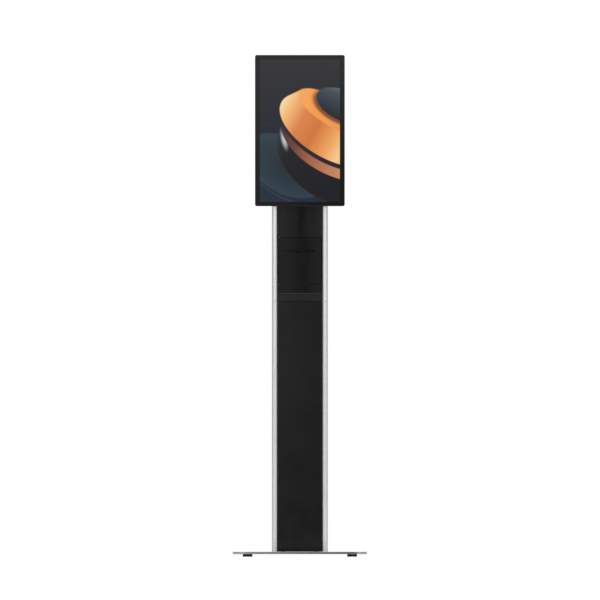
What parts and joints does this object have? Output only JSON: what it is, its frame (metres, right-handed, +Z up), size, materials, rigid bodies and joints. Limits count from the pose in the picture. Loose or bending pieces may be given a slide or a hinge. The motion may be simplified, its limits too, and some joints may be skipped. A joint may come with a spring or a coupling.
{
  "type": "touchscreen kiosk",
  "caption": "Floor-standing self-service kiosk: a portrait touch display over a receipt printer on a two-rail column with a flat square base plate.",
  "frame": {"origin": "on the floor under the centre of the base plate", "axes": "+Z up the column, the display faces -Y, +X to the right as seen from the front"},
  "size_m": [0.45, 0.45, 1.6804],
  "materials": {
    "anodised_aluminium": "satin anodised, fine lengthwise grain",
    "base_metal": "brushed, satin",
    "steel": "zinc plated, satin",
    "black_paint": "satin black powder coat",
    "gloss_black": "gloss black moulding",
    "matt_black": "fine matt texture",
    "rubber": "matt",
    "amber_lens": "translucent amber",
    "paper": "smooth thermal paper",
    "circuit_board": "solder mask",
    "screen_glass": "clear cover glass with a black printed border",
    "lcd_panel": "lit picture, abstract shapes",
    "nylon": "natural nylon",
    "brass": "machined"
  },
  "bodies": {
    "kiosk": {"base_plate": "base_metal", "foot_front_left": "rubber", "foot_front_right": "rubber", "foot_rear_left": "rubber", "foot_rear_right": "rubber", "column_foot": "steel", "column_bolt_1": "steel", "column_bolt_2": "steel", "column_bolt_3": "steel", "column_bolt_4": "steel", "lower_rail_left": "anodised_aluminium", "lower_rail_right": "anodised_aluminium", "rail_joiner_left": "anodised_aluminium", "rail_joiner_right": "anodised_aluminium", "lower_front_panel": "black_paint", "stand_brace": "steel", "rear_skirt": "black_paint", "power_inlet": "matt_black", "power_supply": "steel", "cable_duct": "matt_black", "door_pin_lower": "steel", "door_pin_upper": "steel", "lock_keeper": "steel", "upper_rail_left": "anodised_aluminium", "upper_rail_right": "anodised_aluminium", "upper_back_cover": "black_paint", "column_cap": "black_paint", "printer_shelf": "steel", "status_trim": "gloss_black", "status_lens": "amber_lens", "status_board": "circuit_board", "printer_door_rod": "steel", "upper_fascia": "gloss_black", "printer_frame": "steel", "paper_web": "paper", "feed_motor": "steel", "thermal_head": "anodised_aluminium", "cutter_frame": "steel", "display_bracket": "steel", "display_frame": "matt_black", "display_glass": "screen_glass", "lcd_panel": "lcd_panel", "lcd_tray": "steel", "rear_cover": "matt_black", "mainboard": "circuit_board", "heatsink": "anodised_aluminium", "speaker_left": "matt_black", "speaker_right": "matt_black"},
    "service_door": {"service_door": "black_paint"},
    "door_lock": {"lock_barrel": "steel", "lock_cam": "steel"},
    "printer_door": {"printer_door": "gloss_black"},
    "roll": {"paper_roll": "paper", "roll_spindle": "nylon"},
    "platen": {"platen_roller": "rubber", "platen_gear": "nylon"},
    "motor_rotor": {"motor_pinion": "brass"},
    "cutter": {"cutter_blade": "steel"},
    "power_button": {"power_button": "matt_black"},
    "rocker": {"rocker_switch": "matt_black"}
  },
  "joints": [
    {"name": "service_door_swing", "type": "hinge", "parent": "kiosk", "child": "service_door", "pos_m": [-0.069, 0.0515, 0.077], "axis": [0, 0, 1], "range_deg": [0, 100]},
    {"name": "lock_turn", "type": "hinge", "parent": "service_door", "child": "door_lock", "pos_m": [0.058, 0.056, 0.46], "axis": [0, 1, 0], "range_deg": [0, 90]},
    {"name": "printer_door_swing", "type": "hinge", "parent": "kiosk", "child": "printer_door", "pos_m": [-0.069, -0.0515, 0.9125], "axis": [0, 0, -1], "range_deg": [0, 90]},
    {"name": "roll_spin", "type": "hinge", "parent": "kiosk", "child": "roll", "pos_m": [0, 0.006, 0.912], "axis": [1, 0, 0], "continuous": true},
    {"name": "platen_spin", "type": "hinge", "parent": "kiosk", "child": "platen", "pos_m": [0, -0.014, 1.0165], "axis": [1, 0, 0], "continuous": true},
    {"name": "motor_spin", "type": "hinge", "parent": "kiosk", "child": "motor_rotor", "pos_m": [-0.0525, -0.00403, 1.00115], "axis": [1, 0, 0], "continuous": true},
    {"name": "cutter_drop", "type": "slide", "parent": "kiosk", "child": "cutter", "axis": [0, 0, -1], "range_m": [0, 0.007]},
    {"name": "power_press", "type": "slide", "parent": "kiosk", "child": "power_button", "axis": [-1, 0, 0], "range_m": [0, 0.0012], "stiffness_N_per_m": 400, "springref_m": -0.0005},
    {"name": "rocker_tilt", "type": "hinge", "parent": "kiosk", "child": "rocker", "pos_m": [0.016, 0.0525, 0.046], "axis": [-1, 0, 0], "range_deg": [0, 14]}
  ],
  "couplings": [
    {"joint": "motor_spin", "follows": "platen_spin", "ratio": -2}
  ]
}
